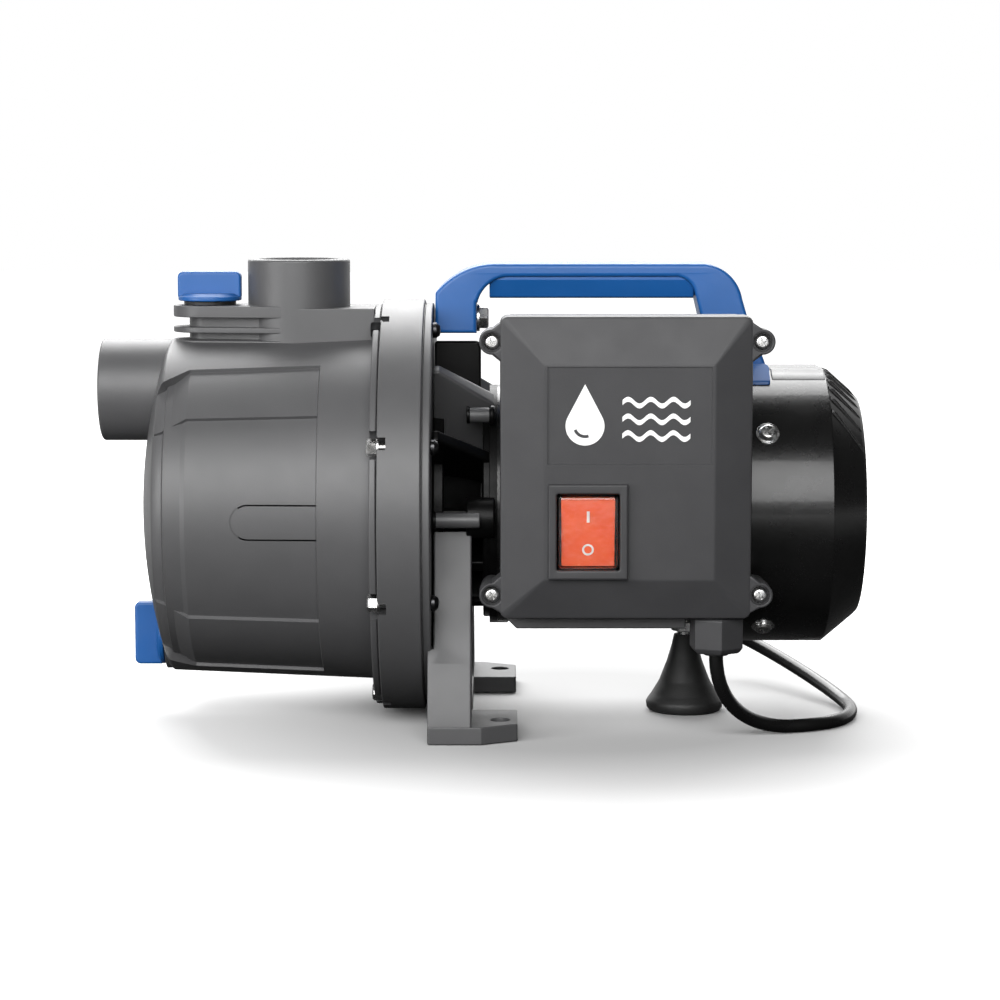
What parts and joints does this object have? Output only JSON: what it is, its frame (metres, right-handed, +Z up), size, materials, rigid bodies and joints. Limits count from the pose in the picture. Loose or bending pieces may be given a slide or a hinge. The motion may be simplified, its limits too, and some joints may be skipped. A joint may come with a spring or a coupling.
{
  "type": "shallow well jet pump",
  "caption": "Shallow well jet pump: a drum-shaped ported casing, an electric motor with a switch box, a carry handle, a bolt-down front bracket and a rubber rear foot.",
  "frame": {"origin": "on the floor, below the shaft, on the underside of the front bracket's sole bar", "axes": "+X along the shaft from the suction port to the motor's rear cover, +Z up, control box on the -Y side"},
  "size_m": [0.3597, 0.206, 0.217],
  "materials": {
    "dark_plastic": "satin moulded plastic with a fine grain",
    "black_plastic": "satin black",
    "gloss_black": "gloss black paint",
    "blue_plastic": "satin moulded plastic",
    "red_plastic": "glossy translucent red",
    "clear_plastic": "clear",
    "white_plastic": "off-white moulded plastic",
    "rubber": "matt black rubber",
    "zinc_steel": "bright zinc plate",
    "shaft_steel": "turned steel",
    "brass": "cast and turned",
    "copper": "varnished copper wire",
    "ceramic": "ground"
  },
  "bodies": {
    "pump": {"pump_casing": "dark_plastic", "back_plate": "dark_plastic", "front_foot": "dark_plastic", "box_base": "dark_plastic", "box_cover": "dark_plastic", "gland_nut": "dark_plastic", "front_endshield": "black_plastic", "rear_endshield": "black_plastic", "switch_body": "black_plastic", "stator_housing": "gloss_black", "rear_cover": "gloss_black", "carry_handle": "blue_plastic", "switch_boot": "clear_plastic", "diffuser": "white_plastic", "ejector_venturi": "white_plastic", "capacitor": "white_plastic", "terminal_block": "white_plastic", "casing_o_ring": "rubber", "rubber_foot": "rubber", "box_gasket": "rubber", "power_cable": "rubber", "casing_bolt_1": "zinc_steel", "casing_bolt_2": "zinc_steel", "casing_bolt_3": "zinc_steel", "casing_bolt_4": "zinc_steel", "casing_bolt_5": "zinc_steel", "casing_bolt_6": "zinc_steel", "casing_bolt_7": "zinc_steel", "casing_bolt_8": "zinc_steel", "rear_cover_screw_1": "zinc_steel", "rear_cover_screw_2": "zinc_steel", "rear_cover_screw_3": "zinc_steel", "rear_cover_screw_4": "zinc_steel", "cover_screw_1": "zinc_steel", "cover_screw_2": "zinc_steel", "cover_screw_3": "zinc_steel", "cover_screw_4": "zinc_steel", "foot_screw": "zinc_steel", "handle_bolt": "zinc_steel", "handle_screw": "zinc_steel", "front_bearing_outer": "shaft_steel", "rear_bearing_outer": "shaft_steel", "stator_core": "shaft_steel", "ejector_nozzle": "brass", "stator_winding": "copper", "seal_seat": "ceramic"},
    "rotor": {"shaft": "shaft_steel", "rotor_core": "shaft_steel", "impeller": "brass", "impeller_nut": "brass", "seal_head": "rubber", "front_bearing_inner": "shaft_steel", "rear_bearing_inner": "shaft_steel", "cooling_fan": "black_plastic"},
    "rocker": {"switch_rocker": "red_plastic"},
    "fill_seal": {"fill_plug_o_ring": "rubber"},
    "fill_plug": {"fill_plug": "blue_plastic"},
    "drain_seal": {"drain_plug_o_ring": "rubber"},
    "drain_plug": {"drain_plug": "blue_plastic"}
  },
  "joints": [
    {"name": "rotor_spin", "type": "hinge", "parent": "pump", "child": "rotor", "pos_m": [0, 0, 0.1], "axis": [1, 0, 0], "continuous": true},
    {"name": "rocker_tilt", "type": "hinge", "parent": "pump", "child": "rocker", "pos_m": [0.061, -0.099, 0.0996], "axis": [-1, 0, 0], "range_deg": [0, 16]},
    {"name": "fill_plug_lift", "type": "slide", "parent": "pump", "child": "fill_seal", "axis": [0, 0, 1], "range_m": [0, 0.0125]},
    {"name": "fill_plug_turn", "type": "hinge", "parent": "fill_seal", "child": "fill_plug", "pos_m": [-0.1158, 0, 0.2], "axis": [0, 0, 1], "range_deg": [0, 1802]},
    {"name": "drain_plug_slide", "type": "slide", "parent": "pump", "child": "drain_seal", "axis": [-1, 0, 0], "range_m": [0, 0.0125]},
    {"name": "drain_plug_turn", "type": "hinge", "parent": "drain_seal", "child": "drain_plug", "pos_m": [-0.14, 0, 0.0377], "axis": [-1, 0, 0], "range_deg": [0, 1802]}
  ],
  "couplings": [
    {"joint": "fill_plug_turn", "follows": "fill_plug_lift", "rad_per_m": 2513.3},
    {"joint": "drain_plug_turn", "follows": "drain_plug_slide", "rad_per_m": 2513.3}
  ]
}
